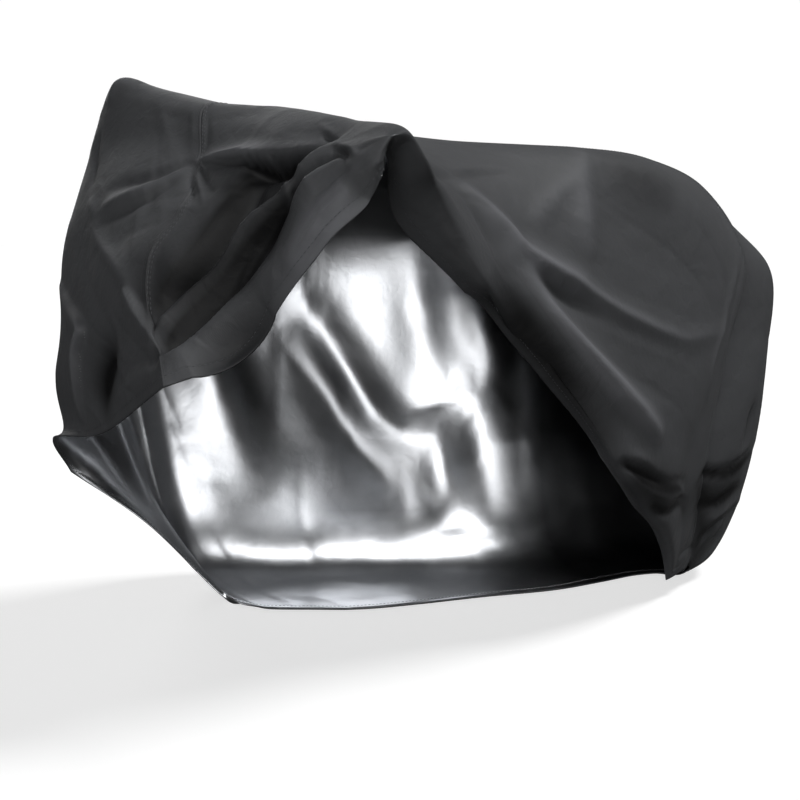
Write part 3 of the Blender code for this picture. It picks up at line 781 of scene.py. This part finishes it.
def painted_coating_shade(tree, place):
    """How much painted shade the coating gets at a place, from 0 to 1."""
    measures = dict(add(tree, "ShaderNodeSeparateXYZ", {0: place}).outputs.items())
    across = add(tree, "ShaderNodeVectorMath", {0: place, 1: BAND_ACROSS}, operation="DOT_PRODUCT")
    across = add(tree, "ShaderNodeMath", {0: across, 1: BAND_MIDDLE}, operation="ADD")
    measures["from the band"] = add(tree, "ShaderNodeMath", {0: across}, operation="ABSOLUTE")
    dim = {}
    for name, ramp in RAMPS.items():
        dim[name] = add(tree, "ShaderNodeMapRange", dict(enumerate((measures[ramp.measure], *ramp[1:]))))
    dimmest = add(tree, "ShaderNodeMath", {0: dim["band"], 1: dim["above the foot"]}, operation="MULTIPLY")
    for name in ("rear", "roof"):
        dimmest = add(tree, "ShaderNodeMath", {0: dimmest, 1: dim[name]}, operation="MAXIMUM")
    return dimmest


# %% Silver coating
FLAKE_DULL, FLAKE_BRIGHT = "#b4b7bb", "#dedfe2"
CLOUDS = 7.0  # cloudy patches about 140 mm across
SMOOTHEST, ROUGHEST = 0.285, 0.38  # below 0.28 Cycles denoises a surface as a mirror, and specks show
ROLLS, ROLL_DEPTH = 4.0, 0.0060  # about 250 mm across
FILM_CRINKLES, FILM_CRINKLE_DEPTH = 45.0, 0.0003  # about 22 mm across


def silver_coating():
    """A dull metal: coloured, blurred reflections, and no other gloss."""
    material, tree, shader = new_material("polyurethane coating, aluminium flake")
    place = add(tree, "ShaderNodeTexCoord").outputs["Object"]
    sizes = {"Vector": place, "Scale": CLOUDS, "Detail": 6.0, "Roughness": 0.65}
    cloudy = add(tree, "ShaderNodeTexNoise", sizes)
    flakes = {0: cloudy, 6: linear(FLAKE_DULL), 7: linear(FLAKE_BRIGHT)}
    flakes = add(tree, "ShaderNodeMix", flakes, data_type="RGBA")
    # The coating's colour, darkened by painted shade.
    colour = {0: painted_coating_shade(tree, place), 6: flakes, 7: linear(COATING_SHADE_COLOUR)}
    colour = add(tree, "ShaderNodeMix", colour, data_type="RGBA")
    rough = add(tree, "ShaderNodeMapRange", {0: cloudy, 1: 0.3, 2: 0.7, 3: SMOOTHEST, 4: ROUGHEST})
    sizes = {"Vector": place, "Scale": ROLLS, "Detail": 1.5, "Distortion": 0.9}
    rolls = add(tree, "ShaderNodeTexNoise", sizes)
    sizes = {"Vector": place, "Scale": FILM_CRINKLES, "Detail": 3.0, "Distortion": 0.8}
    crinkles = add(tree, "ShaderNodeTexNoise", sizes)
    raised = bump(tree, [(rolls, ROLL_DEPTH), (crinkles, FILM_CRINKLE_DEPTH), *grooves(tree)])
    fill(tree, shader, {"Base Color": colour, "Roughness": rough, "Normal": raised, "Metallic": 1.0})
    return material


outside, inside = charcoal_polyester(), silver_coating()
for half in halves.values():
    half.data.materials.append(outside)
    half.data.materials.append(inside)
print("materials:", outside.name, "and", inside.name)

# %% [markdown]
# ## The thread and its stitches
#
# A row of lockstitch runs 22 mm from every hem, where it holds the turned edge down, and shows on both faces.
# Two rows run beside the centre seam, on the outside only. Real stitches are 3 mm apart; these are drawn 9 mm
# apart, because smaller ones can't be seen. Geometry Nodes lays one small stitch again and again along a
# line, so a single shape and four sizes make thousands of them.

# %% Polyester thread
# The thread's own colour, and a painted highlight on its strands.
THREAD, THREAD_PAINTED_HIGHLIGHT = "#3a3b3d", "#58595c"
STRAND = 0.0006  # width of a twisted strand as drawn
STRAND_SCALE = math.pi / 10 / STRAND  # a wave texture repeats every pi / 10, divided by its scale


def polyester_thread():
    """Twisted strands, a shade paler than the cloth, with a highlight painted on top of each stitch."""
    material, tree, shader = new_material("polyester thread, charcoal")
    place = add(tree, "ShaderNodeTexCoord").outputs["Object"]
    strands = add(tree, "ShaderNodeTexWave", {"Vector": place, "Scale": STRAND_SCALE}).outputs["Fac"]
    colour = {0: strands, 6: linear(THREAD), 7: linear(THREAD_PAINTED_HIGHLIGHT)}
    colour = add(tree, "ShaderNodeMix", colour, data_type="RGBA")
    sockets = {"Base Color": colour, "Normal": bump(tree, [(strands, STRAND / 4)])}
    fill(tree, shader, {**sockets, "Roughness": 0.5, "Specular IOR Level": 0.2})
    return material


# %% The stitches' tree
SIZES = {"Pitch": 0.009, "Length": 0.0062, "Radius": 0.0007, "Seed": 3}
SHORTEST, LONGEST = 0.85, 1.1  # stitches, as shares of their size


def stitch_tree(thread):
    """Lays a small stitch along every line it is given, each a little longer or shorter than the last."""
    tree = bpy.data.node_groups.new("stitching", "GeometryNodeTree")
    tree.interface.new_socket("Lines", in_out="INPUT", socket_type="NodeSocketGeometry")
    for title, size in SIZES.items():
        kind = "NodeSocketInt" if isinstance(size, int) else "NodeSocketFloat"
        tree.interface.new_socket(title, in_out="INPUT", socket_type=kind)
    tree.interface.new_socket("Stitches", in_out="OUTPUT", socket_type="NodeSocketGeometry")
    given = add(tree, "NodeGroupInput").outputs
    run = add(tree, "GeometryNodeMeshToCurve", {"Mesh": given["Lines"]})
    spots = add(tree, "GeometryNodeResampleCurve", {"Curve": run, "Length": given["Pitch"]}, mode="LENGTH")
    stitch = add(tree, "GeometryNodeMeshUVSphere", {"Segments": 6, "Rings": 4, "Radius": 1.0})
    tangent = add(tree, "GeometryNodeInputTangent")
    turn = add(tree, "FunctionNodeAlignRotationToVector", {"Vector": tangent}, axis="Z")
    half_length = add(tree, "ShaderNodeMath", {0: given["Length"], 1: 0.5}, operation="MULTIPLY")
    shape = add(tree, "ShaderNodeCombineXYZ", {0: given["Radius"], 1: given["Radius"], 2: half_length})
    uneven = add(tree, "FunctionNodeRandomValue", {2: SHORTEST, 3: LONGEST, "Seed": given["Seed"]})
    size = add(tree, "ShaderNodeVectorMath", {0: shape, "Scale": uneven}, operation="SCALE")
    laid = {"Points": spots, "Instance": stitch, "Rotation": turn, "Scale": size}
    real = add(tree, "GeometryNodeRealizeInstances", {0: add(tree, "GeometryNodeInstanceOnPoints", laid)})
    smooth_stitches = add(tree, "GeometryNodeSetShadeSmooth", {0: real})
    sewn = add(tree, "GeometryNodeSetMaterial", {"Geometry": smooth_stitches, "Material": thread})
    add(tree, "NodeGroupOutput", {0: sewn})
    return tree


# %% Sew the stitches
def sewing_lines(name):
    """Lines over a half's grid: along its long hem and its two ends on both faces, and beside the seam."""
    columns, edge, side = PANELS[name]
    hem = 0 if side < 0 else -1
    along_hem = lengthwise[:, hem]
    kept_rows = np.nonzero((along_hem > HEM_ROW) & (along_hem[-1] - along_hem > HEM_ROW))[0]
    kept_columns = np.arange(crosswise.shape[1])[columns]
    kept_columns = [c for c in kept_columns if abs(crosswise[0, hem] - crosswise[0, c]) > HEM_ROW]
    runs = [(face, side * -HEM_ROW + crosswise[:, hem]) for face in (outer, inner)]
    if side > 0:
        runs += [(outer, np.full(len(crosswise), row)) for row in SEAM_ROWS]
    ends = (np.full(lengthwise.shape[1], HEM_ROW), lengthwise[-1] - HEM_ROW)
    lines = [
        [[np.interp(at[r], crosswise[r], face[r, :, axis]) for axis in range(3)] for r in kept_rows]
        for face, at in runs
    ]
    return lines + [
        [[np.interp(at[c], lengthwise[:, c], face[:, c, axis]) for axis in range(3)] for c in kept_columns]
        for face in (outer, inner)
        for at in ends
    ]


def sew(name, tree):
    """A half's stitches as plain mesh."""
    lines = sewing_lines(name)
    starts = set(np.cumsum([len(line) for line in lines]).tolist())
    count = max(starts)
    mesh = bpy.data.meshes.new(name + "_stitches")
    edges = [(i, i + 1) for i in range(count - 1) if i + 1 not in starts]
    mesh.from_pydata([tuple(point) for line in lines for point in line], edges, [])
    sewn = placed(name + "_stitches", mesh)
    nodes = sewn.modifiers.new("stitching", "NODES")
    nodes.node_group = tree
    for socket in tree.interface.items_tree:
        if socket.in_out == "INPUT" and socket.name in SIZES:
            nodes[socket.identifier] = SIZES[socket.name]
    sewn.data = bpy.data.meshes.new_from_object(sewn.evaluated_get(bpy.context.evaluated_depsgraph_get()))
    sewn.modifiers.clear()
    return sewn


tree = stitch_tree(polyester_thread())
stitches = {name: sew(name, tree) for name in halves}
for name, sewn in stitches.items():
    sewn.data.calc_loop_triangles()
    print(name, "stitches:", len(sewn.data.loop_triangles), "triangles")

# %% [markdown]
#
# Each half stands for its CAD node, which is hidden, and rides on the root body with its stitches. The near
# half hangs gathered, and what is gathered out of sight isn't modelled.

# %% Ride and replace
Cut = namedtuple("Cut", "width length area")
for name, half in halves.items():
    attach(half, "root")
    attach(stitches[name], "root")
    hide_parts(name)
print("declared", sorted(halves))

# %% [markdown]
# ## Floor and light
#
# A pale floor and a white room, as in a product picture. Both look bright to the camera but shed almost no
# light on the cloth, which would wash its folds out. A soft key lamp high on the right shades one side of
# each fold, a wide fill from the camera's side opens the shadows, and a weaker lamp lights the back. A shiny
# film mirrors whatever stands before it, so two large softboxes show in the coating only and stay off the
# matt cloth.

# %% The floor
HALF_ROOM = 14.0
FLOOR_GREY, FLOOR_GLOW = "#a8a8a8", 0.66  # its own glow makes it nearly as white as the room behind it
WHITE = "#ffffff"

floor_mesh = bpy.data.meshes.new("floor")
around = [(x * HALF_ROOM, y * HALF_ROOM, GROUND) for x, y in ((-1, -1), (1, -1), (1, 1), (-1, 1))]
floor_mesh.from_pydata(around, [], [(0, 1, 2, 3)])
floor = placed("floor", floor_mesh)
material, tree, shader = new_material("pale matt floor")
fill(tree, shader, {"Base Color": linear(FLOOR_GREY), "Roughness": 0.8})
fill(tree, shader, {"Emission Color": linear(WHITE), "Emission Strength": FLOOR_GLOW})
floor_mesh.materials.append(material)
# The floor is seen, but it neither lights the cloth nor shades it.
floor.visible_diffuse = floor.visible_glossy = floor.visible_shadow = False
print("floor", 2 * HALF_ROOM, "m wide")

# %% The room and its lamps
ROOM_SEEN, ROOM_LIGHT, ROOM_SHINE = 1.0, 0.05, 0.01  # to the camera, to matt cloth, and in the coating
room = bpy.data.worlds.new("room")
bpy.context.scene.world = room
room.use_nodes = True
tree = room.node_tree
ray = add(tree, "ShaderNodeLightPath").outputs
strength = ROOM_SHINE
for kind, share in (("Is Camera Ray", ROOM_SEEN), ("Is Diffuse Ray", ROOM_LIGHT)):
    strength = add(tree, "ShaderNodeMath", {0: ray[kind], 1: share, 2: strength}, operation="MULTIPLY_ADD")
fill(tree, tree.nodes["Background"], {"Color": linear(WHITE), "Strength": strength})

Lamp = namedtuple("Lamp", "name toward angle strength on_matt_cloth")
LAMPS = [
    Lamp("key", (-0.40, 0.28, -0.87), 14, 2.6, True),
    Lamp("fill", (0.75, 0.60, -0.30), 36, 1.3, True),
    Lamp("back", (-0.20, -0.90, -0.35), 36, 0.8, True),
    Lamp("front softbox", (0.42, 0.73, -0.50), 38, 1.7, False),
    Lamp("low softbox", (0.02, 0.92, 0.39), 24, 0.7, False),
]
for lamp in LAMPS:
    light = bpy.data.lights.new(lamp.name, "SUN")
    light.angle, light.energy = math.radians(lamp.angle), lamp.strength
    stand = placed(lamp.name, light)
    stand.rotation_euler = Vector(lamp.toward).to_track_quat("-Z", "Y").to_euler()
    stand.visible_diffuse = lamp.on_matt_cloth
bpy.context.scene.view_settings.view_transform = "Standard"
print(len(LAMPS), "lamps")

# %% Finish
bpy.context.view_layer.update()
